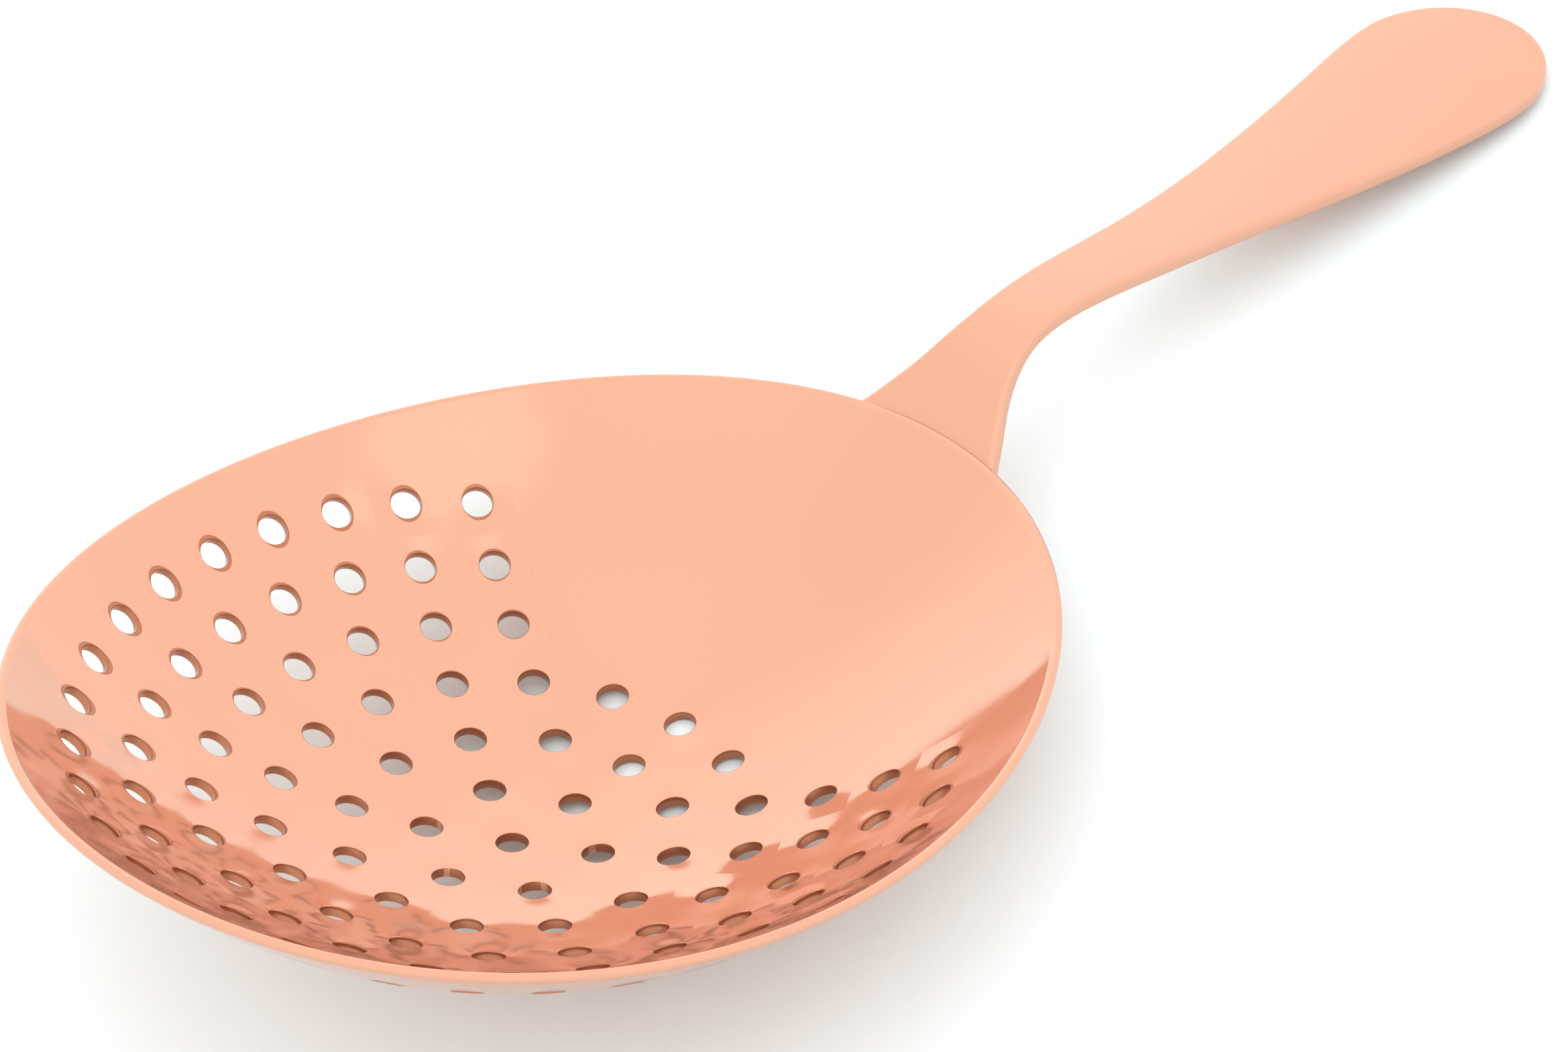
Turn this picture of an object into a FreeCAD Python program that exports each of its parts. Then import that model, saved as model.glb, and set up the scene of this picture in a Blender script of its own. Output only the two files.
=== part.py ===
import FreeCAD, Part
import math
import os

# Julep strainer: a perforated pressed bowl with a flat, bent handle brazed under its rim.
# Millimetres. The bowl is drawn with its rim level, its length along X and the handle at +X.
# At the end the whole strainer is tipped to the way it lies on a table, resting on the
# bowl and on the handle's end, with Z up and the origin under the middle of its box.

# Bowl pressing
BOWL_HALF_LENGTH = 44.3     # rim centre to the rim's tip, and to the handle
BOWL_HALF_WIDTH = 38.9      # rim centre to either side
EGG = 0.069                 # how much narrower the rim is towards the handle
RIM_SADDLE = 1.0            # the rim's two ends stand this much over its mean level
BOWL_DEPTH = 16.8           # rim level down to the inside of the bottom
BOWL_ROUNDNESS = 2.4        # 2 is a plain dish, more gives a flatter bottom
LOWEST_X = -4.2             # the bottom lies this far from the rim's centre
SHEET = 0.9                 # metal thickness
LIP_RADIUS = 0.3            # rounding of the rim's two edges

# Holes, on rings about one hole at the bottom
HOLE_DIAMETER = 2.6
RING_CENTRE_X = -4.0
RING_RADII = (7.1, 13.3, 19.2, 24.6, 29.6, 34.4)
FIRST_RING_HOLES = 6        # holes in the first ring; each ring outside it has this many more
RING_GAPS = (0, 0, 0, 2, 3, 4)   # holes left out on each side of the handle's line

# Handle
HANDLE_THICKNESS = 1.5
HANDLE_LENGTH = 76.1        # from the rim out to the end
END_RADIUS = 9.2            # round end, seen from above
FOOT_RADIUS = 8.4           # round foot that laps under the bowl
FOOT_SETBACK = 0.1          # the foot's centre lies this far inside the rim
BRAZE_GAP = 0.12            # filler thickness between bowl and foot
BLEND_LENGTH = 6.5          # over this length the bowl's curve turns into the flat handle
EDGE_RADIUS = 0.45          # rounding of the handle's edges

# Height of the handle's top over the rim level, at shares of the handle's length from the rim
HANDLE_HEIGHTS = (
    (0.0, 0.1), (0.026, 1.9), (0.053, 3.6), (0.079, 5.1), (0.105, 6.25), (0.131, 7.0), (0.171, 7.6),
    (0.237, 7.8), (0.342, 7.45), (0.473, 7.15), (0.604, 7.15), (0.736, 7.55), (0.867, 8.45), (1.051, 10.0),
)

# Half width of the handle at shares of its length, from the round end in to the foot
HANDLE_HALF_WIDTHS = (
    (0.788, 8.5), (0.683, 7.2), (0.578, 5.9), (0.473, 4.75), (0.368, 3.95), (0.263, 3.45), (0.171, 3.18),
    (0.118, 3.35), (0.075, 4.15), (0.049, 5.0), (0.022, 6.25),
)
FOOT_CORNER = 98.0          # where the side meets the foot's circle, degrees from +X
CORNER_RADIUS = 1.0         # rounding of the foot's two corners, seen from above

GRID_STEP = 3.0             # spacing of the points that a pressed surface passes through
SURFACE_MARGIN = 3.0        # surfaces run this far past what is cut from them
RIM_POINTS = 48             # points that the rim's outline passes through
TRIM_REACH = 4.0            # the trimming die is square to the sheet this far up and down
TOOL_HEIGHT = 80.0          # height of the solids that cut and trim
STEEPEST_TIP = 45.0         # the strainer lies tipped by less than this, degrees


def rim_point(turn, share=1.0):
    """A point of the rim's outline, or of a smaller copy shrunk towards the lowest point."""
    x = BOWL_HALF_LENGTH * math.cos(turn)
    y = BOWL_HALF_WIDTH * math.sin(turn) * (1 - EGG * math.cos(turn))
    return LOWEST_X * (1 - share) + share * x, share * y


def rim_share(x, y):
    """How far a point is from the lowest point (0) to the rim (1), and its cosine there."""
    low = 0.0001
    high = 3.0
    for _ in range(40):
        share = (low + high) / 2
        along = (x - LOWEST_X * (1 - share)) / (share * BOWL_HALF_LENGTH)
        bounded = max(-1.5, min(1.5, along))
        across = y / (share * BOWL_HALF_WIDTH * (1 - EGG * bounded))
        if along * along + across * across > 1:
            low = share
        else:
            high = share
    return share, max(-1.0, min(1.0, along))


def bowl_inside(x, y):
    """Height of the bowl's inner surface."""
    share, cosine = rim_share(x, y)
    dish = -BOWL_DEPTH * (1 - share ** BOWL_ROUNDNESS)
    return dish + RIM_SADDLE * share ** 2 * (2 * cosine ** 2 - 1)


def slopes(height, x, y):
    """The two slopes of a height function."""
    step = 0.05
    slope_x = (height(x + step, y) - height(x - step, y)) / (2 * step)
    slope_y = (height(x, y + step) - height(x, y - step)) / (2 * step)
    return slope_x, slope_y


def below(height, distance):
    """A height function that lies a distance under another, measured square to it."""
    def lowered(x, y):
        slope_x, slope_y = slopes(height, x, y)
        return height(x, y) - distance * math.sqrt(1 + slope_x ** 2 + slope_y ** 2)
    return lowered


def spread(start, end, step):
    """Even positions from start to end, no further apart than step."""
    count = max(4, math.ceil((end - start) / step))
    return [start + (end - start) * i / count for i in range(count + 1)]


def surface_face(height, xs, ys):
    """A smooth face through the points of a height function over a grid."""
    points = [[FreeCAD.Vector(x, y, height(x, y)) for y in ys] for x in xs]
    surface = Part.BSplineSurface()
    surface.interpolate(points)
    return surface.toShape()


def above(face):
    """The solid that stands on a face."""
    return face.extrude(FreeCAD.Vector(0, 0, TOOL_HEIGHT))


def one_solid(shape, name):
    """The single solid that a cut has left."""
    if len(shape.Solids) != 1:
        raise ValueError(name + " came out as " + str(len(shape.Solids)) + " solids")
    return shape.Solids[0]


def bowl_grid():
    """Grid positions that cover the bowl."""
    reach_x = BOWL_HALF_LENGTH + SURFACE_MARGIN
    reach_y = BOWL_HALF_WIDTH + SURFACE_MARGIN
    return spread(-reach_x, reach_x, GRID_STEP), spread(-reach_y, reach_y, GRID_STEP)


def rim_wire(lift, square_lift, growth):
    """The rim's outline lifted off the rim, flared so that a wall through it is square to the sheet."""
    points = []
    for i in range(RIM_POINTS):
        turn = 2 * math.pi * i / RIM_POINTS
        x, y = rim_point(turn)
        next_x, next_y = rim_point(turn + 0.01)
        stride = math.hypot(next_x - x, next_y - y)
        out_x = (next_y - y) / stride
        out_y = -(next_x - x) / stride
        slope_x, slope_y = slopes(bowl_inside, x, y)
        out = growth - square_lift * (slope_x * out_x + slope_y * out_y)
        points.append(FreeCAD.Vector(x + out_x * out, y + out_y * out, bowl_inside(x, y) + lift))
    curve = Part.BSplineCurve()
    curve.interpolate(Points=points, PeriodicFlag=True)
    return Part.Wire([curve.toShape()])


def rim_trimmer(growth):
    """A die with the rim's outline. At the rim its wall stands square to the sheet."""
    bottom = rim_wire(-TOOL_HEIGHT / 2, -TRIM_REACH, growth)
    lower = rim_wire(-TRIM_REACH, -TRIM_REACH, growth)
    upper = rim_wire(TRIM_REACH, TRIM_REACH, growth)
    return Part.makeLoft([bottom, lower, upper], True, True)


def rim_edges(blank):
    """The two long edges round the trimmed rim."""
    shortest = 2 * math.pi * min(BOWL_HALF_LENGTH, BOWL_HALF_WIDTH) * 0.9
    return [edge for edge in blank.Edges if edge.Length > shortest]


def make_blank(outside, inside):
    """The pressed and trimmed bowl with its rounded lip, before its holes."""
    sheet = outside.cut(inside).common(rim_trimmer(0))
    blank = one_solid(sheet, "bowl blank")
    return blank.makeFillet(LIP_RADIUS, rim_edges(blank))


def hole_places():
    """Where the holes go: rings round the bottom, the outer ones open towards the handle."""
    places = [(RING_CENTRE_X, 0)]
    for ring, radius in enumerate(RING_RADII):
        pitches = FIRST_RING_HOLES * (ring + 1)
        gap = RING_GAPS[ring]
        first = gap + 1 if gap else 0
        last = pitches - gap - 1
        for i in range(first, last + 1):
            turn = 2 * math.pi * i / pitches
            places.append((RING_CENTRE_X + radius * math.cos(turn), radius * math.sin(turn)))
    return places


def hole_punch(x, y):
    """A round punch that stands square to the sheet."""
    slope_x, slope_y = slopes(bowl_inside, x, y)
    direction = FreeCAD.Vector(-slope_x, -slope_y, 1).normalize()
    start = FreeCAD.Vector(x, y, bowl_inside(x, y)) - direction * 3 * SHEET
    return Part.makeCylinder(HOLE_DIAMETER / 2, 5 * SHEET, start, direction)


def make_bowl(blank):
    """The bowl with every hole punched."""
    punches = [hole_punch(x, y) for x, y in hole_places()]
    return one_solid(blank.cut(punches), "bowl")


def handle_profile():
    """The handle's height as a smooth curve over the share of its length."""
    points = [FreeCAD.Vector(share, 0, height) for share, height in HANDLE_HEIGHTS]
    shares = [share for share, height in HANDLE_HEIGHTS]
    curve = Part.BSplineCurve()
    curve.interpolate(Points=points, Parameters=shares)
    return curve


def handle_top(profile):
    """Height of the handle's top: under the bowl it follows the bowl, then its own profile."""
    foot = below(bowl_inside, SHEET + BRAZE_GAP)

    def height(x, y):
        distance = x - BOWL_HALF_LENGTH
        part = max(0.0, min(1.0, distance / BLEND_LENGTH))
        blend = part * part * (3 - 2 * part)
        free = profile.value(max(0.0, distance / HANDLE_LENGTH)).z if blend else 0.0
        fitted = foot(x, y) if blend < 1 else 0.0
        return (1 - blend) * fitted + blend * free
    return height


def handle_outline():
    """The handle seen from above: round end, waisted sides and round foot."""
    end_x = BOWL_HALF_LENGTH + HANDLE_LENGTH - END_RADIUS
    foot_x = BOWL_HALF_LENGTH - FOOT_SETBACK
    corner = math.radians(FOOT_CORNER)
    side = [FreeCAD.Vector(end_x, END_RADIUS, 0)]
    for share, half_width in HANDLE_HALF_WIDTHS:
        side.append(FreeCAD.Vector(BOWL_HALF_LENGTH + share * HANDLE_LENGTH, half_width, 0))
    corner_x = foot_x + FOOT_RADIUS * math.cos(corner)
    side.append(FreeCAD.Vector(corner_x, FOOT_RADIUS * math.sin(corner), 0))
    curve = Part.BSplineCurve()
    leaving = FreeCAD.Vector(-1, 0, 0)
    arriving = FreeCAD.Vector(-1, 1, 0)
    curve.interpolate(Points=side, InitialTangent=leaving, FinalTangent=arriving)
    left = curve.toShape()
    right = left.mirror(FreeCAD.Vector(0, 0, 0), FreeCAD.Vector(0, 1, 0))
    end = Part.Arc(
        FreeCAD.Vector(end_x, -END_RADIUS, 0),
        FreeCAD.Vector(end_x + END_RADIUS, 0, 0),
        FreeCAD.Vector(end_x, END_RADIUS, 0),
    ).toShape()
    foot = Part.Arc(
        side[-1],
        FreeCAD.Vector(foot_x - FOOT_RADIUS, 0, 0),
        FreeCAD.Vector(side[-1].x, -side[-1].y, 0),
    ).toShape()
    return Part.Wire(Part.__sortEdges__([end, left, foot, right]))


def prism(wire):
    """A tall solid with a plan outline."""
    face = Part.Face(wire)
    face.translate(FreeCAD.Vector(0, 0, -TOOL_HEIGHT / 2))
    return face.extrude(FreeCAD.Vector(0, 0, TOOL_HEIGHT))


def handle_grid():
    """Grid positions that cover the handle."""
    start = BOWL_HALF_LENGTH - FOOT_SETBACK - FOOT_RADIUS - SURFACE_MARGIN
    end = BOWL_HALF_LENGTH + HANDLE_LENGTH + SURFACE_MARGIN
    reach = max(END_RADIUS, FOOT_RADIUS) + SURFACE_MARGIN
    return spread(start, end, GRID_STEP / 2), spread(-reach, reach, GRID_STEP)


def upright_edges(plate):
    """The edges that stand upright in the cut side of a plate."""
    return [edge for edge in plate.Edges if abs(edge.tangentAt(edge.FirstParameter).z) > 0.9]


def make_handle(top_face, bottom_face):
    """The stamped and bent handle with rounded edges."""
    plate = above(bottom_face).cut(above(top_face)).common(prism(handle_outline()))
    plate = one_solid(plate, "handle")
    corners = [edge for edge in upright_edges(plate) if edge.CenterOfMass.x < BOWL_HALF_LENGTH]
    plate = plate.makeFillet(CORNER_RADIUS, corners)
    upright = [edge.hashCode() for edge in upright_edges(plate)]
    return plate.makeFillet(EDGE_RADIUS, [e for e in plate.Edges if e.hashCode() not in upright])


def make_braze(top_face, outside):
    """The thin layer of filler between the bowl and the handle's foot."""
    layer = above(top_face).cut(outside).common(rim_trimmer(-LIP_RADIUS))
    foot_x = BOWL_HALF_LENGTH - FOOT_SETBACK
    radius = FOOT_RADIUS - 1.5 * EDGE_RADIUS
    base = FreeCAD.Vector(foot_x, 0, -TOOL_HEIGHT / 2)
    foot = Part.makeCylinder(radius, TOOL_HEIGHT, base)
    return one_solid(layer.common(foot), "braze")


def lowest(shape, angle):
    """Lowest height of a shape that is tipped, handle side down."""
    tipped = shape.copy()
    tipped.rotate(FreeCAD.Vector(0, 0, 0), FreeCAD.Vector(0, 1, 0), angle)
    return tipped.optimalBoundingBox(False).ZMin


def lying_angle(blank, handle):
    """The tip at which the bowl and the handle's end touch the table together."""
    low = 0.0
    high = STEEPEST_TIP
    for _ in range(20):
        angle = (low + high) / 2
        if lowest(handle, angle) > lowest(blank, angle):
            low = angle
        else:
            high = angle
    return angle


def lay_down(pieces, blank, handle):
    """Tips every piece to the way it lies, with the origin under the middle of their box."""
    angle = lying_angle(blank, handle)
    for piece in pieces.values():
        piece.rotate(FreeCAD.Vector(0, 0, 0), FreeCAD.Vector(0, 1, 0), angle)
    box = FreeCAD.BoundBox()
    for piece in pieces.values():
        box.add(piece.optimalBoundingBox(False))
    shift = FreeCAD.Vector(-box.Center.x, -box.Center.y, -box.ZMin)
    for piece in pieces.values():
        piece.translate(shift)
    print("tipped by", round(angle, 2), "degrees")
    print("size", round(box.XLength, 1), round(box.YLength, 1), round(box.ZLength, 1))


def build():
    """Makes every piece and writes it to its file."""
    os.makedirs("parts", exist_ok=True)
    xs, ys = bowl_grid()
    outside = above(surface_face(below(bowl_inside, SHEET), xs, ys))
    inside = above(surface_face(bowl_inside, xs, ys))
    blank = make_blank(outside, inside)
    top = handle_top(handle_profile())
    handle_xs, handle_ys = handle_grid()
    top_face = surface_face(top, handle_xs, handle_ys)
    bottom_face = surface_face(below(top, HANDLE_THICKNESS), handle_xs, handle_ys)
    handle = make_handle(top_face, bottom_face)
    pieces = {
        "bowl": make_bowl(blank),
        "handle": handle.copy(),
        "braze": make_braze(top_face, outside),
    }
    lay_down(pieces, blank, handle)
    for name, piece in pieces.items():
        print(name, piece.isValid(), round(piece.Volume, 2), "mm3")
        piece.exportStep("parts/" + name + ".step")


build()
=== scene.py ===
# %% [markdown]
# A julep strainer is two pieces of polished, copper-plated sheet: a shallow perforated bowl
# and a flat handle brazed under its rim. This lesson makes both the way a press shop does:
# a flat blank is cut first and then pressed to its curves. The flat stage is where bevels and
# holes are easy and exact, so the curved metal comes out smooth enough to act as a mirror.

import math

import bmesh
import bpy
import numpy as np
from mathutils import Matrix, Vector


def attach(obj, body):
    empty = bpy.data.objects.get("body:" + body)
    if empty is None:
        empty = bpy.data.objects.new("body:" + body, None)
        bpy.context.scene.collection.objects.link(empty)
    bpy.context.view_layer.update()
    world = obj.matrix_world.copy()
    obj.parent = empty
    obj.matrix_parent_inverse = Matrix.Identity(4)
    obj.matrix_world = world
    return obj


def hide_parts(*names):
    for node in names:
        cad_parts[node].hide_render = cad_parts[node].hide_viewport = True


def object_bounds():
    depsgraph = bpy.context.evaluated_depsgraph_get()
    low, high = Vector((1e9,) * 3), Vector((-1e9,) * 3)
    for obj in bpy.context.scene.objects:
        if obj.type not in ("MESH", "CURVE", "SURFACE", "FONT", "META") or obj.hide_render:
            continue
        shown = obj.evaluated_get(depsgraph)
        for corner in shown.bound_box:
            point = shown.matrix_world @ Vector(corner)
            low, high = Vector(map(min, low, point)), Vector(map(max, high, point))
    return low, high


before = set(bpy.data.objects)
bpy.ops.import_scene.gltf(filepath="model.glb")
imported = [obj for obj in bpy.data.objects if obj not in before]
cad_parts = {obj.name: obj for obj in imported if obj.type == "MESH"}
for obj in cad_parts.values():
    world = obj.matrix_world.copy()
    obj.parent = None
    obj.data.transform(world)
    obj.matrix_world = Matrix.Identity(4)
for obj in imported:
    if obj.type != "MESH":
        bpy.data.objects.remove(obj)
cad_low, cad_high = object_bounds()
BODY = "root"
MM = 0.001
print("frame", [round(n / MM, 1) for n in cad_high - cad_low], "mm")

# %% [markdown]
# The shape of the bowl comes from a few sizes. Its rim is an egg, a little narrower towards
# the handle, and its two ends stand a little higher than its sides. Inside, the bowl is built
# from smaller copies of the rim, shrunk towards the lowest point. `share` says how far out a
# point lies: 0 at the lowest point, 1 on the rim.
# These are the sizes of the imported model, in metres, with the rim level and the handle at +X.

# %% Driving sizes
HALF_LENGTH = 44.3 * MM
HALF_WIDTH = 38.9 * MM
EGG = 0.069
SADDLE = 1.0 * MM
DEPTH = 16.8 * MM
ROUNDNESS = 2.4
LOWEST_X = -4.2 * MM
SHEET = 0.9 * MM
HOLE_RADIUS = 1.3 * MM
RING_CENTRE_X = -4.0 * MM
RING_RADII = [r * MM for r in (7.1, 13.3, 19.2, 24.6, 29.6, 34.4)]
FIRST_RING_HOLES = 6
RING_GAPS = (0, 0, 0, 2, 3, 4)
HANDLE_THICKNESS = 1.5 * MM
HANDLE_LENGTH = 76.1 * MM
END_RADIUS = 9.2 * MM
FOOT_RADIUS = 8.4 * MM
FOOT_SETBACK = 0.1 * MM
FOOT_CORNER = math.radians(98)
BRAZE_GAP = 0.12 * MM
BLEND_LENGTH = 6.5 * MM
EDGE_RADIUS = 0.45 * MM
print("bowl", round(2 * HALF_LENGTH / MM, 1), "by", round(2 * HALF_WIDTH / MM, 1), "mm over its rim")

# %% [markdown]
# Work is done on numpy arrays, because a pressed surface moves tens of thousands of points at
# once. To find the share of any plan point, the script halves an interval forty times, which
# is slow but simple. The handle reaches beyond the rim, so shares above 1 are needed too.

# %% The bowl's inner surface as a height over its plan
HALVINGS = 40
LEAST_SHARE = 1e-5
MOST_SHARE = 3.0
EGG_REACH = 1.5


def rim_share(x, y):
    """Share of the way from the lowest point to the rim, and the cosine of the turn there."""
    low = np.full_like(x, LEAST_SHARE)
    high = np.full_like(x, MOST_SHARE)
    for _ in range(HALVINGS):
        share = (low + high) / 2
        along = (x - LOWEST_X * (1 - share)) / (share * HALF_LENGTH)
        across = y / (share * HALF_WIDTH * (1 - EGG * np.clip(along, -EGG_REACH, EGG_REACH)))
        too_small = along ** 2 + across ** 2 > 1
        low = np.where(too_small, share, low)
        high = np.where(too_small, high, share)
    return share, np.clip(along, -1, 1)


def bowl_height(x, y):
    """Height of the bowl's inner surface over the rim's mean level."""
    share, cosine = rim_share(x, y)
    dish = -DEPTH * (1 - share ** ROUNDNESS)
    return dish + SADDLE * share ** 2 * (2 * cosine ** 2 - 1)


def slopes(height, x, y, step=0.05 * MM):
    """The two slopes of a height function."""
    slope_x = (height(x + step, y) - height(x - step, y)) / (2 * step)
    slope_y = (height(x, y + step) - height(x, y - step)) / (2 * step)
    return slope_x, slope_y


def press(points, height):
    """Carries flat points onto a surface: z is kept as the distance square to the sheet."""
    x, y, z = points.T
    slope_x, slope_y = slopes(height, x, y)
    stretch = z / np.sqrt(1 + slope_x ** 2 + slope_y ** 2)
    return np.stack([x - slope_x * stretch, y - slope_y * stretch, height(x, y) + stretch], -1)


def press_normals(points, normals, height, step=0.02 * MM):
    """Turns flat normals with the sheet, so that gloss runs smoothly over the pressed metal."""
    columns = []
    for axis in np.eye(3):
        ahead = press(points + axis * step, height)
        behind = press(points - axis * step, height)
        columns.append((ahead - behind) / (2 * step))
    turned = np.cross(columns[1], columns[2]) * normals[:, :1]
    turned += np.cross(columns[2], columns[0]) * normals[:, 1:2]
    turned += np.cross(columns[0], columns[1]) * normals[:, 2:]
    return turned / np.linalg.norm(turned, axis=1, keepdims=True)


rim_level = bowl_height(np.array([HALF_LENGTH, 0.0]), np.array([0.0, HALF_WIDTH]))
print("rim over its mean level, end and side, mm", np.round(rim_level / MM, 2))

# %% [markdown]
# The blank of the bowl is a flat disc with a rounded lip: a section drawn once and spun about
# the middle. The section runs out along the inside, round the lip and back along the outside. Its
# radius is the share, so the spun disc only has to be stretched to the egg afterwards.

# %% Spin the flat blank
BODY_RINGS = 46
LIP_STEPS = 8
TURN_STEPS = 256
LIP_RADIUS = SHEET / 2
LIP_SHARE = LIP_RADIUS / ((HALF_LENGTH + HALF_WIDTH) / 2)


def bowl_section():
    """Points of the bowl's section: share along X, distance over the inner surface along Z."""
    flat_end = 1 - LIP_SHARE
    inner = [(flat_end * i / BODY_RINGS, 0.0) for i in range(BODY_RINGS + 1)]
    lip = []
    for i in range(1, LIP_STEPS):
        turn = math.pi / 2 - math.pi * i / LIP_STEPS
        lip.append((flat_end + LIP_SHARE * math.cos(turn), LIP_RADIUS * (math.sin(turn) - 1)))
    outer = [(share, -SHEET) for share, _ in reversed(inner)]
    return inner + lip + outer


def spun(section, steps):
    """A closed solid of revolution about Z from a section whose two ends lie on the axis."""
    bm = bmesh.new()
    verts = [bm.verts.new((x, 0, z)) for x, z in section]
    edges = [bm.edges.new(pair) for pair in zip(verts, verts[1:])]
    bmesh.ops.spin(
        bm, geom=verts + edges, cent=(0, 0, 0), axis=(0, 0, 1), angle=2 * math.pi,
        steps=steps, use_merge=True,
    )
    bmesh.ops.remove_doubles(bm, verts=bm.verts[:], dist=1e-7)
    bmesh.ops.recalc_face_normals(bm, faces=bm.faces[:])
    return bm


def egg_point(x, y):
    """Stretches a point of the unit disc to the egg-shaped plan."""
    share = math.hypot(x, y)
    cosine = x / share if share > 0 else 1.0
    plan_x = LOWEST_X * (1 - share) + HALF_LENGTH * x
    return plan_x, HALF_WIDTH * y * (1 - EGG * cosine)


def mesh_object(name, bm):
    """Puts a bmesh into a new object at the origin."""
    mesh = bpy.data.meshes.new(name)
    bm.to_mesh(mesh)
    bm.free()
    obj = bpy.data.objects.new(name, mesh)
    bpy.context.scene.collection.objects.link(obj)
    return obj


blank = spun(bowl_section(), TURN_STEPS)
for vert in blank.verts:
    vert.co.x, vert.co.y = egg_point(vert.co.x, vert.co.y)
bowl = mesh_object("bowl_shell", blank)
print("bowl blank", len(bowl.data.polygons), "faces")

# %% [markdown]
# Each hole is punched by a spool. Its ends flare, so both edges of the hole come out eased, as
# tumbling and polishing leave them. The sheet will be pressed after punching, and pressing
# stretches a hole down the slope, so each spool is squeezed by the same amount first.

# %% Punch the holes
EASE = 0.11 * MM
EASE_STEPS = 3
HOLE_STEPS = 32
OVERSHOOT = 0.4 * MM


def spool_section():
    """Section of the punch: flared where it meets each face of the sheet."""
    flare = []
    for i in range(EASE_STEPS + 1):
        turn = math.pi / 2 * i / EASE_STEPS
        flare.append((HOLE_RADIUS + EASE * (1 - math.sin(turn)), -EASE * (1 - math.cos(turn))))
    upper = [(0, OVERSHOOT), (flare[0][0], OVERSHOOT)] + flare
    lower = [(x, -SHEET - z) for x, z in reversed(upper)]
    return upper + lower


def hole_places():
    """Rings of holes about a middle one; the outer rings stay open towards the handle."""
    places = [(RING_CENTRE_X, 0.0)]
    for ring, radius in enumerate(RING_RADII):
        pitches = FIRST_RING_HOLES * (ring + 1)
        gap = RING_GAPS[ring]
        for i in range(gap + 1 if gap else 0, pitches - gap):
            turn = 2 * math.pi * i / pitches
            places.append((RING_CENTRE_X + radius * math.cos(turn), radius * math.sin(turn)))
    return places


def punches():
    """All the spools as one mesh."""
    bm = spun(spool_section(), HOLE_STEPS)
    first = bm.verts[:] + bm.edges[:] + bm.faces[:]
    for x, y in hole_places():
        slope_x, slope_y = slopes(bowl_height, np.array([x]), np.array([y]))
        downhill = math.atan2(slope_y[0], slope_x[0])
        squeeze = 1 / math.sqrt(1 + slope_x[0] ** 2 + slope_y[0] ** 2)
        turn = Matrix.Rotation(downhill, 4, "Z")
        place = Matrix.Translation((x, y, 0)) @ turn @ Matrix.Diagonal((squeeze, 1, 1, 1)) @ turn.inverted()
        copy = bmesh.ops.duplicate(bm, geom=first)
        verts = [item for item in copy["geom"] if isinstance(item, bmesh.types.BMVert)]
        bmesh.ops.transform(bm, matrix=place, verts=verts)
    bmesh.ops.delete(bm, geom=[item for item in first if isinstance(item, bmesh.types.BMVert)])
    return mesh_object("punches", bm)


def apply_modifiers(obj):
    """Makes the object's mesh what its modifiers show."""
    graph = bpy.context.evaluated_depsgraph_get()
    result = bpy.data.meshes.new_from_object(obj.evaluated_get(graph), depsgraph=graph)
    obj.modifiers.clear()
    obj.data = result


cutter = punches()
cut = bowl.modifiers.new("punch", "BOOLEAN")
cut.operation = "DIFFERENCE"
cut.solver = "EXACT"
cut.object = cutter
apply_modifiers(bowl)
bpy.data.objects.remove(cutter)
print("punched", len(hole_places()), "holes,", len(bowl.data.polygons), "faces")

# %% [markdown]
# Pressing moves every point at once. The normals go through the press too: on the flat blank
# they are known exactly, straight up or down on the faces, so after pressing they follow the
# true curve and not the small flat facets. On a mirror finish that is what the eye sees. The
# blank has to be ready for it: faces with many sides are split, so that they can bend.

# %% Ready the bowl's blank for the press


def flat_normals(mesh, thickness):
    """Normals of a flat blank: exact on its two faces, averaged round edges and holes."""
    count = len(mesh.vertices)
    points = np.empty(count * 3)
    normals = np.empty(count * 3)
    mesh.vertices.foreach_get("co", points)
    mesh.vertex_normals.foreach_get("vector", normals)
    points = points.reshape(-1, 3).astype(float)
    normals = normals.reshape(-1, 3).astype(float)
    near = 1e-7
    normals[np.abs(points[:, 2]) < near] = (0, 0, 1)
    normals[np.abs(points[:, 2] + thickness) < near] = (0, 0, -1)
    return points, normals


def set_mesh(mesh, points, normals):
    """Writes points and smooth normals to a mesh."""
    mesh.vertices.foreach_set("co", points.ravel())
    mesh.polygons.foreach_set("use_smooth", np.ones(len(mesh.polygons), dtype=bool))
    mesh.update()
    mesh.normals_split_custom_set_from_vertices(normals.tolist())


def trim_faces(mesh, merge=0.0):
    """Splits the many-sided faces that a cut leaves, so that they can bend."""
    bm = bmesh.new()
    bm.from_mesh(mesh)
    if merge > 0:
        bmesh.ops.remove_doubles(bm, verts=bm.verts[:], dist=merge)
    wide = [face for face in bm.faces if len(face.verts) > 4]
    bmesh.ops.triangulate(bm, faces=wide, quad_method="BEAUTY", ngon_method="BEAUTY")
    loose = [vert for vert in bm.verts if not vert.link_faces]
    bmesh.ops.delete(bm, geom=loose)
    open_edges = sum(1 for edge in bm.edges if len(edge.link_faces) != 2)
    bm.to_mesh(mesh)
    bm.free()
    return open_edges


open_edges = trim_faces(bowl.data, merge=2e-7)
bowl_points, bowl_normals = flat_normals(bowl.data, SHEET)
print("bowl", len(bowl.data.polygons), "faces,", open_edges, "open edges")

# %% [markdown]
# The handle is a stamping. Seen flat from above it has a round end, waisted sides and a round
# foot. A cubic spline runs the sides through a few widths, and another gives the height of
# the bent handle over the rim's level. A spline bends evenly, as springy metal does, so the
# light slides along the handle without a kink.

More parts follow.
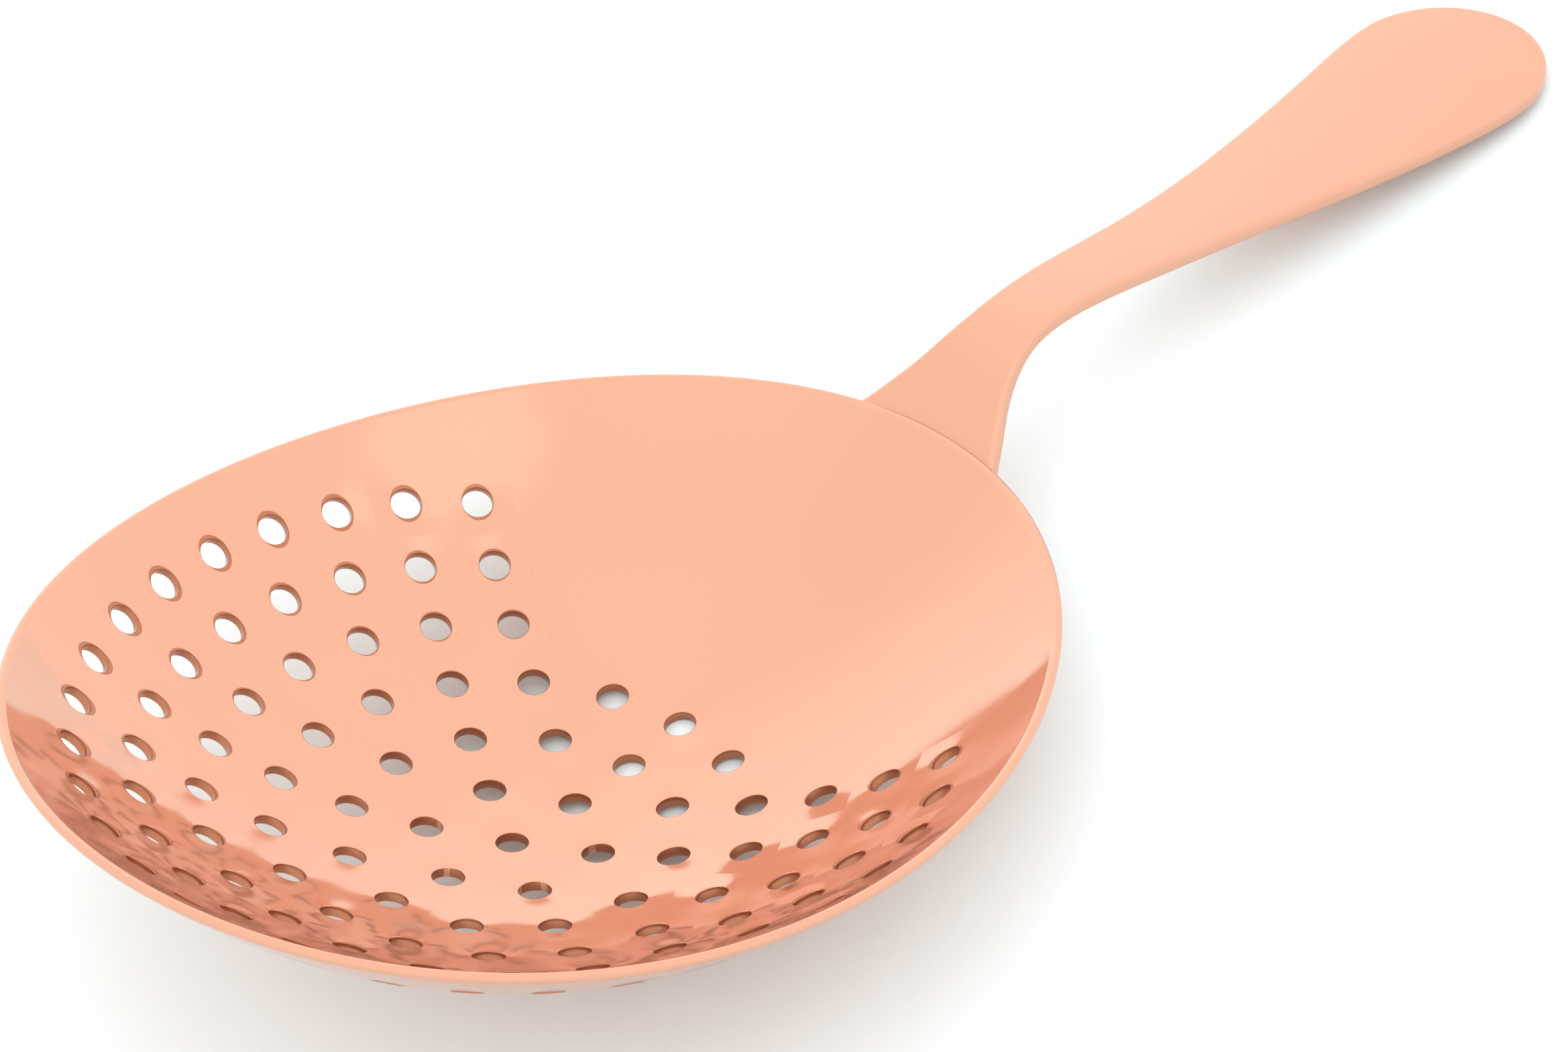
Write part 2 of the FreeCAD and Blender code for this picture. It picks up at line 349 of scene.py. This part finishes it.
# %% Splines for the handle
HALF_WIDTHS = [(share * HANDLE_LENGTH, width * MM) for share, width in (
    (0.022, 6.25), (0.049, 5.0), (0.075, 4.15), (0.118, 3.35), (0.171, 3.18), (0.263, 3.45), (0.368, 3.95),
    (0.473, 4.75), (0.578, 5.9), (0.683, 7.2), (0.788, 8.5),
)]
HEIGHTS = [(share * HANDLE_LENGTH, height * MM) for share, height in (
    (0.0, 0.1), (0.026, 1.9), (0.053, 3.6), (0.079, 5.1), (0.105, 6.25), (0.131, 7.0), (0.171, 7.6),
    (0.237, 7.8), (0.342, 7.45), (0.473, 7.15), (0.604, 7.15), (0.736, 7.55), (0.867, 8.45), (1.051, 10.0),
)]
SIDE_STEP = 0.8 * MM
END_STEPS = 28
FOOT_STEPS = 24


def spline(knots, start_slope=None, end_slope=None):
    """A smooth cubic through (place, value) pairs; ends are free unless their slope is given."""
    places, values = np.array(knots).T
    count = len(places)
    gaps = np.diff(places)
    rises = np.diff(values) / gaps
    system = np.zeros((count, count))
    wanted = np.zeros(count)
    for i in range(1, count - 1):
        system[i, i - 1:i + 2] = (gaps[i - 1], 2 * (gaps[i - 1] + gaps[i]), gaps[i])
        wanted[i] = 6 * (rises[i] - rises[i - 1])
    system[0, 0] = system[-1, -1] = 1
    if start_slope is not None:
        system[0, :2] = (2 * gaps[0], gaps[0])
        wanted[0] = 6 * (rises[0] - start_slope)
    if end_slope is not None:
        system[-1, -2:] = (gaps[-1], 2 * gaps[-1])
        wanted[-1] = 6 * (end_slope - rises[-1])
    bends = np.linalg.solve(system, wanted)

    def value(place):
        place = np.clip(place, places[0], places[-1])
        i = np.clip(np.searchsorted(places, place) - 1, 0, count - 2)
        after = place - places[i]
        before = places[i + 1] - place
        gap = gaps[i]
        curve = (bends[i] * before ** 3 + bends[i + 1] * after ** 3) / (6 * gap)
        left = (values[i] / gap - bends[i] * gap / 6) * before
        right = (values[i + 1] / gap - bends[i + 1] * gap / 6) * after
        return curve + left + right
    return value


profile = spline(HEIGHTS)
tip_height = float(profile(HANDLE_LENGTH))


def handle_height(x, y):
    """Height of the handle's top: under the bowl it hugs the bowl, then it has its own bends."""
    slope_x, slope_y = slopes(bowl_height, x, y)
    gap = (SHEET + BRAZE_GAP) * np.sqrt(1 + slope_x ** 2 + slope_y ** 2)
    fitted = bowl_height(x, y) - gap
    distance = x - HALF_LENGTH
    part = np.clip(distance / BLEND_LENGTH, 0, 1)
    blend = part * part * (3 - 2 * part)
    return (1 - blend) * fitted + blend * profile(np.maximum(distance, 0))


print("the handle's tip is", round(tip_height / MM, 2), "mm over the rim's level")

# %% [markdown]
# The blank is one outline given a thickness. Its edges are rounded while it is still flat, as
# a stamping is tumbled before it is bent. Then its faces are scored with fine cuts, because
# only a face that is divided can bend. All this is worked in millimetres, the steps of the
# cuts too: in metres the details are so small that bevel goes wrong on them.

# %% Cut the handle's flat blank
EDGE_STEPS = 5
CORNER_STEPS = 4
LENGTH_CUTS = 1.0
WIDTH_CUTS = 1.6
CUT_SNAP = 1e-4


def rounded(before, corner, after):
    """Points of a small curve that takes the place of a sharp corner."""
    points = []
    for i in range(1, CORNER_STEPS):
        t = i / CORNER_STEPS
        weights = ((1 - t) ** 2, 2 * t * (1 - t), t * t)
        points.append(tuple(
            sum(weight * point[axis] for weight, point in zip(weights, (before, corner, after)))
            for axis in range(2)
        ))
    return points


def handle_outline():
    """Half of the outline from the tip round to the foot, as plan points with Y above 0."""
    end_x = HANDLE_LENGTH - END_RADIUS
    foot_x = -FOOT_SETBACK
    corner = (foot_x + FOOT_RADIUS * math.cos(FOOT_CORNER), FOOT_RADIUS * math.sin(FOOT_CORNER))
    width = spline([corner] + HALF_WIDTHS + [(end_x, END_RADIUS)], start_slope=-1, end_slope=0)
    half = []
    for i in range(END_STEPS):
        turn = math.pi / 2 * i / END_STEPS
        half.append((end_x + END_RADIUS * math.cos(turn), END_RADIUS * math.sin(turn)))
    side_steps = round((end_x - corner[0]) / SIDE_STEP)
    for i in range(side_steps + 1):
        distance = end_x + (corner[0] - end_x) * i / side_steps
        half.append((distance, float(width(distance))))
    for i in range(1, FOOT_STEPS + 1):
        turn = FOOT_CORNER + (math.pi - FOOT_CORNER) * i / FOOT_STEPS
        half.append((foot_x + FOOT_RADIUS * math.cos(turn), FOOT_RADIUS * math.sin(turn)))
    at = side_steps + END_STEPS
    half[at:at + 1] = rounded(half[at - 1], half[at], half[at + 1])
    return [(HALF_LENGTH + x, y) for x, y in half]


def cut_across(bm, start, end, step, axis):
    """Scores the two flat faces with evenly spaced cuts square to an axis."""
    for i in range(1, round((end - start) / step)):
        place = [0.0, 0.0, 0.0]
        place[axis] = start + step * i
        normal = [0.0, 0.0, 0.0]
        normal[axis] = 1.0
        flat = [face for face in bm.faces if abs(face.normal.z) > 0.999]
        edges = {edge for face in flat for edge in face.edges}
        verts = {vert for face in flat for vert in face.verts}
        bmesh.ops.bisect_plane(
            bm, geom=flat + list(edges) + list(verts), dist=CUT_SNAP, plane_co=place, plane_no=normal,
        )


def handle_blank():
    """The flat stamping: outline, thickness, rounded edges, then fine cuts to bend along."""
    half = handle_outline()
    lower = [(x, -y) for x, y in reversed(half[1:-1])]
    bm = bmesh.new()
    verts = [bm.verts.new((x / MM, y / MM, 0)) for x, y in half + lower]
    edges = [bm.edges.new(pair) for pair in zip(verts, verts[1:] + verts[:1])]
    bmesh.ops.edgenet_fill(bm, edges=edges)
    solid = bmesh.ops.extrude_face_region(bm, geom=bm.faces[:])
    moved = [item for item in solid["geom"] if isinstance(item, bmesh.types.BMVert)]
    bmesh.ops.translate(bm, verts=moved, vec=(0, 0, -HANDLE_THICKNESS / MM))
    bmesh.ops.recalc_face_normals(bm, faces=bm.faces[:])
    rims = [edge for edge in bm.edges if edge.verts[0].co.z == edge.verts[1].co.z]
    bmesh.ops.bevel(
        bm, geom=rims, offset=EDGE_RADIUS / MM, affect="EDGES", segments=EDGE_STEPS, profile=0.5,
        material=-1, offset_type="OFFSET", loop_slide=True,
    )
    bm.normal_update()
    cut_across(bm, (HALF_LENGTH - FOOT_RADIUS) / MM, (HALF_LENGTH + HANDLE_LENGTH) / MM, LENGTH_CUTS, 0)
    cut_across(bm, -END_RADIUS / MM, END_RADIUS / MM, WIDTH_CUTS, 1)
    bmesh.ops.scale(bm, vec=(MM, MM, MM), verts=bm.verts[:])
    return mesh_object("handle_blade", bm)


handle = handle_blank()
print("handle", len(handle.data.polygons), "faces,", trim_faces(handle.data), "open edges")
handle_points, handle_normals = flat_normals(handle.data, HANDLE_THICKNESS)

# %% [markdown]
# So far the rim is level. On a table the strainer tips until the handle's end touches down.
# The script finds that tip by trying angles until the bowl's and the handle's lowest points
# are at one height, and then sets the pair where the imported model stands.

# %% Press both pieces and lay them down


def tipped(points, angle):
    """Turns points about the Y axis, handle side down."""
    turn = np.array(Matrix.Rotation(angle, 3, "Y"))
    return points @ turn.T


def keep_plan(mesh, points):
    """Stores each point's place on the flat blank as a UV map, so a finish can find the holes."""
    layer = mesh.uv_layers.new(name="plan")
    corners = np.empty(len(mesh.loops), dtype=int)
    mesh.loops.foreach_get("vertex_index", corners)
    layer.data.foreach_set("uv", points[corners, :2].ravel())


keep_plan(bowl.data, bowl_points)
keep_plan(handle.data, handle_points)
bowl_normals = press_normals(bowl_points, bowl_normals, bowl_height)
bowl_points = press(bowl_points, bowl_height)
handle_normals = press_normals(handle_points, handle_normals, handle_height)
handle_points = press(handle_points, handle_height)
low_angle = 0.0
high_angle = math.radians(45)
for _ in range(HALVINGS):
    lie_angle = (low_angle + high_angle) / 2
    if tipped(handle_points, lie_angle)[:, 2].min() > tipped(bowl_points, lie_angle)[:, 2].min():
        low_angle = lie_angle
    else:
        high_angle = lie_angle
laid_bowl = tipped(bowl_points, lie_angle)
laid_handle = tipped(handle_points, lie_angle)
shift = np.array([
    cad_low.x - laid_bowl[:, 0].min(),
    0.0,
    cad_low.z - laid_bowl[:, 2].min(),
])
set_mesh(bowl.data, laid_bowl + shift, tipped(bowl_normals, lie_angle))
set_mesh(handle.data, laid_handle + shift, tipped(handle_normals, lie_angle))
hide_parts("bowl")
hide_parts("handle")
for piece in (bowl, handle):
    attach(piece, BODY)
print("tipped by", round(math.degrees(lie_angle), 2), "degrees, shift mm", np.round(shift / MM, 2))

# %% [markdown]
# Shader maths reads best as ordinary Python. A small class wraps a socket, and its operators add
# Math nodes, so a mask can be written as 1 - wear * 0.5. One method makes every other node.

# %% Shader maths as expressions


class Value:
    """A socket that Python can do sums with."""

    def __init__(self, tree, socket):
        self.tree = tree
        self.socket = socket

    def math(self, operation, *others):
        """One Math node of this value and the others."""
        inputs = dict(enumerate([self, *others]))
        return self.tree.node("ShaderNodeMath", {"operation": operation}, inputs)

    def __add__(self, other):
        return self.math("ADD", other)

    def __sub__(self, other):
        return self.math("SUBTRACT", other)

    def __rsub__(self, other):
        return (self * -1.0) + other

    def __mul__(self, other):
        return self.math("MULTIPLY", other)

    __radd__ = __add__
    __rmul__ = __mul__


class Tree:
    """A material's or a world's node tree, with one method that makes any node."""

    def __init__(self, tree):
        self.tree = tree
        self.tree.nodes.clear()

    def node(self, kind, settings=None, inputs=None, output=0):
        """Adds a node: its settings first, a ramp's stops among them, then its sockets."""
        made = self.tree.nodes.new(kind)
        for name, value in (settings or {}).items():
            if name == "stops":
                set_stops(made.color_ramp.elements, value)
            else:
                setattr(made, name, value)
        for name, value in (inputs or {}).items():
            if isinstance(value, Value):
                self.tree.links.new(value.socket, made.inputs[name])
            else:
                made.inputs[name].default_value = value
        return Value(self, made.outputs[output]) if made.outputs else made


def set_stops(elements, stops):
    """Sets the two stops of a colour ramp from (place, colour) pairs."""
    for element, (place, colour) in zip(elements, stops):
        element.position = place
        element.color = colour


def new_material(name):
    """A node material and its empty tree."""
    material = bpy.data.materials.new(name)
    material.use_nodes = True
    return material, Tree(material.node_tree)


def noise(tree, place, scale, detail, distortion=0.0):
    """Smooth random values from 0 to 1; scale is in cells to the metre."""
    inputs = {"Vector": place, "Scale": scale, "Detail": detail, "Distortion": distortion}
    return tree.node("ShaderNodeTexNoise", {}, inputs)


def mixed(tree, share, first, second):
    """One colour turning into another as share goes from 0 to 1.

    A Mix node has sockets for each type of data: 0, 6, 7 and output 2 are those for colours.
    """
    return tree.node("ShaderNodeMix", {"data_type": "RGBA"}, {0: share, 6: first, 7: second}, output=2)


def surface(tree, **sockets):
    """The Principled shader that ends a material; underscores stand for spaces in names."""
    inputs = {name.replace("_", " "): value for name, value in sockets.items()}
    shader = tree.node("ShaderNodeBsdfPrincipled", {}, inputs)
    tree.node("ShaderNodeOutputMaterial", {}, {"Surface": shader})


print("shader maths ready")

# %% [markdown]
# A punch drags the sheet down with it, so each hole sits in a soft dimple, and the near wall's
# reflections swim round the holes. The rings are regular, so a shader can find the nearest hole
# from the flat plan alone: round each ring it rounds the turn to a whole number of pitches. The
# same distance picks out the holes' own walls, which no polishing wheel reaches: they are made
# duller, and a darker brown is painted on them as the shade inside the holes.

# %% Find the holes in the shader
DIMPLE_DEPTH = 0.14 * MM
DIMPLE_WIDTH = 1.9 * MM
FAR_AWAY = 20.0  # in squared dimple widths: too far for a dimple to show
WALL_REACH = HOLE_RADIUS + EASE / 3


def flat_plan(tree, axis):
    """One coordinate of the point's place on the flat blank, in metres."""
    plan = tree.node("ShaderNodeUVMap", {"uv_map": "plan"})
    return tree.node("ShaderNodeSeparateXYZ", {}, {0: plan}, output=axis)


def hole_nearness(tree):
    """Square of the distance to the nearest hole's middle, in dimple widths."""
    x = flat_plan(tree, 0) - RING_CENTRE_X
    y = flat_plan(tree, 1)
    out = (x * x + y * y).math("SQRT")
    turn = y.math("ARCTAN2", x)
    nearest = out * out * DIMPLE_WIDTH ** -2
    for ring, radius in enumerate(RING_RADII):
        pitches = FIRST_RING_HOLES * (ring + 1)
        step = turn * (pitches / (2 * math.pi))
        along = (step - step.math("ROUND")) * (2 * math.pi * radius / pitches / DIMPLE_WIDTH)
        across = (out - radius) * (1 / DIMPLE_WIDTH)
        square = along * along + across * across
        if RING_GAPS[ring]:
            unpunched = step.math("ABSOLUTE").math("LESS_THAN", RING_GAPS[ring] + 0.5)
            square = square + unpunched * FAR_AWAY
        nearest = nearest.math("MINIMUM", square)
    return nearest


def hole_marks(tree):
    """The dimple's height in metres, and a mask that is 1 on the holes' walls, where shade is painted."""
    nearness = hole_nearness(tree)
    dimple = (nearness * -1.0).math("EXPONENT") * -DIMPLE_DEPTH
    wall_shade_and_dulling = nearness.math("LESS_THAN", (WALL_REACH / DIMPLE_WIDTH) ** 2)
    return dimple, wall_shade_and_dulling


print("dimples", round(DIMPLE_DEPTH / MM, 2), "mm deep,", round(DIMPLE_WIDTH / MM, 2), "mm wide")

# %% [markdown]
# Polished copper is a mirror with a colour of its own. The plating is not perfectly even: slow
# noise shifts it a little between rose and yellow, polishing leaves soft swirls in the gloss,
# and handling leaves a few duller clouds. Pressed sheet is also never truly smooth, so a wide,
# very shallow bump bends the reflections. The metallic share stays below 1, which lays a little
# plain colour over the mirror. That is a choice for the look, not a property of copper.

# %% Copper finish
ROSE = (0.70, 0.347, 0.230, 1.0)
GOLD = (0.71, 0.370, 0.253, 1.0)
# painted shade: a darker brown laid on the holes' walls for the shade inside the holes
HOLE_WALL_SHADE_BROWN = (0.44, 0.165, 0.085, 1.0)
METAL_SHARE = 0.75
LEAST_ROUGHNESS = 0.03
CLOUD_DULLING = 0.08
SWIRL_DULLING = 0.04
WALL_DULLING = 0.12
WAVE_DEPTH = 0.12 * MM
RIPPLE_DEPTH = 0.045 * MM
CROWN = 4.0  # the crown falls by this times the square of the distance from the middle line
# scale in cells to the metre, detail, and for the swirls distortion
TINT = (45.0, 2.0)
CLOUDS = (70.0, 5.0)
SWIRLS = (900.0, 3.0, 1.5)
WAVES = (55.0, 0.0)
RIPPLES = (230.0, 0.0)


def crown(tree):
    """Height of the very slight crown across the handle, in metres."""
    across = flat_plan(tree, 1)
    return across * across * -CROWN


def copper(name, punched):
    """Polished copper plating: dimpled round punched holes with painted shade on their walls, or crowned
    like the handle.
    """
    material, tree = new_material(name)
    place = tree.node("ShaderNodeTexCoord", output=3)
    colour = mixed(tree, noise(tree, place, *TINT), ROSE, GOLD)
    clouds = noise(tree, place, *CLOUDS)
    swirls = noise(tree, place, *SWIRLS)
    roughness = clouds * CLOUD_DULLING + swirls * SWIRL_DULLING + LEAST_ROUGHNESS
    height = noise(tree, place, *WAVES) * WAVE_DEPTH + noise(tree, place, *RIPPLES) * RIPPLE_DEPTH
    if punched:
        dimple, wall_shade_and_dulling = hole_marks(tree)
        height = height + dimple
        # painted shade: the holes' walls turn a darker brown, and their gloss is duller too
        colour = mixed(tree, wall_shade_and_dulling, colour, HOLE_WALL_SHADE_BROWN)
        roughness = roughness + wall_shade_and_dulling * WALL_DULLING
    else:
        height = height + crown(tree)
    bump = tree.node("ShaderNodeBump", {}, {"Strength": 1.0, "Distance": 1.0, "Height": height})
    surface(tree, Base_Color=colour, Metallic=METAL_SHARE, Roughness=roughness, Normal=bump)
    return material


def finish_piece(piece, material):
    """Gives a new piece its one material."""
    piece.data.materials.clear()
    piece.data.materials.append(material)
    print(material.name, "on", piece.name)


finish_piece(bowl, copper("bowl_copper", punched=True))
finish_piece(handle, copper("handle_copper", punched=False))

# %% [markdown]
# The braze is a film of filler between the bowl and the foot. Only its thin edge can be seen, so
# the CAD model's own solid stays and just gets a finish: heat leaves the filler browner and
# duller than the polished sheet, in small uneven stains.

# %% Braze finish
DARK_STAIN = (0.30, 0.15, 0.07, 1.0)
LIGHT_STAIN = (0.55, 0.33, 0.17, 1.0)
STAIN_DEPTH = 0.2 * MM
STAIN_BUMP = 0.3
STAIN_DULLING = 0.3
FILLER_ROUGHNESS = 0.3
STAINS = (400.0, 4.0)


def brown_filler():
    """Browned filler metal."""
    material, tree = new_material("brown_braze")
    stain = noise(tree, tree.node("ShaderNodeTexCoord", output=3), *STAINS)
    stops = [(0.3, DARK_STAIN), (0.7, LIGHT_STAIN)]
    colour = tree.node("ShaderNodeValToRGB", {"stops": stops}, {0: stain})
    relief = {"Strength": STAIN_BUMP, "Distance": STAIN_DEPTH, "Height": stain}
    bump = tree.node("ShaderNodeBump", {}, relief)
    roughness = stain * STAIN_DULLING + FILLER_ROUGHNESS
    surface(tree, Base_Color=colour, Metallic=1.0, Roughness=roughness, Normal=bump)
    return material


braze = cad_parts["braze"]
filler = brown_filler()
if not braze.data.materials:
    braze.data.materials.append(filler)
for material_slot in braze.material_slots:
    material_slot.material = filler
print(filler.name, "on", braze.name)

# %% [markdown]
# The strainer lies on a wide, pale sweep of paper. Its faint blue offsets much of the pink light
# that the copper throws down, so the shadows stay close to grey.

# %% Floor
FLOOR_REACH = 3.0
PAPER_DARK = (0.86, 0.955, 0.975, 1.0)
PAPER_LIGHT = (0.875, 0.97, 0.99, 1.0)
PAPER_ROUGHNESS = 0.9
GRAIN = (300.0, 3.0)


def pale_floor():
    """A sheet of paper under the object, wide enough to fill every view."""
    bm = bmesh.new()
    bmesh.ops.create_grid(bm, x_segments=4, y_segments=4, size=FLOOR_REACH)
    bmesh.ops.translate(bm, verts=bm.verts[:], vec=(0, 0, cad_low.z))
    floor = mesh_object("pale_floor", bm)
    material, tree = new_material("white_sweep")
    grain = noise(tree, tree.node("ShaderNodeTexCoord", output=3), *GRAIN)
    stops = [(0.0, PAPER_DARK), (1.0, PAPER_LIGHT)]
    colour = tree.node("ShaderNodeValToRGB", {"stops": stops}, {0: grain})
    surface(tree, Base_Color=colour, Roughness=PAPER_ROUGHNESS)
    floor.data.materials.append(material)
    return floor


floor = pale_floor()
print("floor reaches", FLOOR_REACH, "m each way")

# %% [markdown]
# The light is a white studio tent. A polished metal shows what stands round it, so the tent
# matters more than any lamp would. It is white all round. Seen from the camera it has a soft,
# brighter box high on the right, a brighter zone low on the far side, and a left flank that is a
# touch darker. The brown patches on the bowl's near wall need no dark object: there the copper
# mirrors copper, and its colour deepens. The Standard view transform keeps the whites white.

# %% Studio tent
TENT = 1.42
WHITE = (1.0, 1.0, 1.0, 1.0)
BLACK = (0.0, 0.0, 0.0, 1.0)
# azimuth and elevation in degrees, start and end of the soft edge as cosines, extra light
TENT_PATCHES = {
    "box": (-67, 62, 0.975, 0.99, 0.26),
    "far side": (62, 16, 0.86, 0.99, 0.20),
    "left flank": (112, 44, 0.90, 0.99, -0.07),
}


def tent_patch(tree, way, azimuth, elevation, edge, core):
    """A soft round patch of the sky: 1 in its core, 0 outside its edge."""
    azimuth, elevation = math.radians(azimuth), math.radians(elevation)
    aim = (
        math.cos(elevation) * math.cos(azimuth),
        math.cos(elevation) * math.sin(azimuth),
        math.sin(elevation),
    )
    agreement = tree.node(
        "ShaderNodeVectorMath", {"operation": "DOT_PRODUCT"}, {0: way, 1: aim}, output=1,
    )
    return tree.node("ShaderNodeValToRGB", {"stops": [(edge, BLACK), (core, WHITE)]}, {0: agreement})


def tent():
    """The world's light: an even white with the patches on it."""
    world = bpy.data.worlds.new("tent")
    world.use_nodes = True
    bpy.context.scene.world = world
    tree = Tree(world.node_tree)
    way = tree.node("ShaderNodeTexCoord", output=0)
    level = TENT
    for azimuth, elevation, edge, core, extra in TENT_PATCHES.values():
        level = tent_patch(tree, way, azimuth, elevation, edge, core) * extra + level
    light = tree.node("ShaderNodeBackground", {}, {"Color": WHITE, "Strength": level})
    tree.node("ShaderNodeOutputWorld", {}, {"Surface": light})


tent()
bpy.context.scene.view_settings.view_transform = "Standard"
print("tent patches:", ", ".join(TENT_PATCHES))

# %% [markdown]
# The camera looks down over the bowl's rim with a long lens. It is placed from the level rim, by
# azimuth, elevation and distance, and then laid down with the pieces. The two offsets slide it
# sideways and upwards without turning it, which brings the handle into the frame.

# %% Camera
AZIMUTH = math.radians(-47.063)
ELEVATION = math.radians(33.110)
ROLL = math.radians(0.9695)
DISTANCE = 552.4615 * MM
OFFSET_RIGHT = 18.5723 * MM
OFFSET_UP = 9.955 * MM
LENS = 160.63
SENSOR_WIDTH = 36.0
CLIP = (0.01, 20.0)


def camera():
    """The camera, aimed in the level-rim frame and tipped with the strainer."""
    back = np.array([
        math.sin(AZIMUTH) * math.cos(ELEVATION),
        -math.cos(AZIMUTH) * math.cos(ELEVATION),
        math.sin(ELEVATION),
    ])
    right = np.array([math.cos(AZIMUTH), math.sin(AZIMUTH), 0.0])
    up = np.cross(back, right)
    place = back * DISTANCE + right * OFFSET_RIGHT + up * OFFSET_UP
    rolled_right = math.cos(ROLL) * right + math.sin(ROLL) * up
    rolled_up = -math.sin(ROLL) * right + math.cos(ROLL) * up
    rows = np.array([place, rolled_right, rolled_up, back])
    place, rolled_right, rolled_up, back = tipped(rows, lie_angle)
    data = bpy.data.cameras.new("camera")
    data.lens = LENS
    data.sensor_width = SENSOR_WIDTH
    data.clip_start, data.clip_end = CLIP
    obj = bpy.data.objects.new("camera", data)
    bpy.context.scene.collection.objects.link(obj)
    turn = Matrix((rolled_right, rolled_up, back)).transposed()
    obj.matrix_world = Matrix.Translation(place + shift) @ turn.to_4x4()
    bpy.context.scene.camera = obj
    return obj


view = camera()
print("camera at mm", [round(n / MM, 1) for n in view.location])
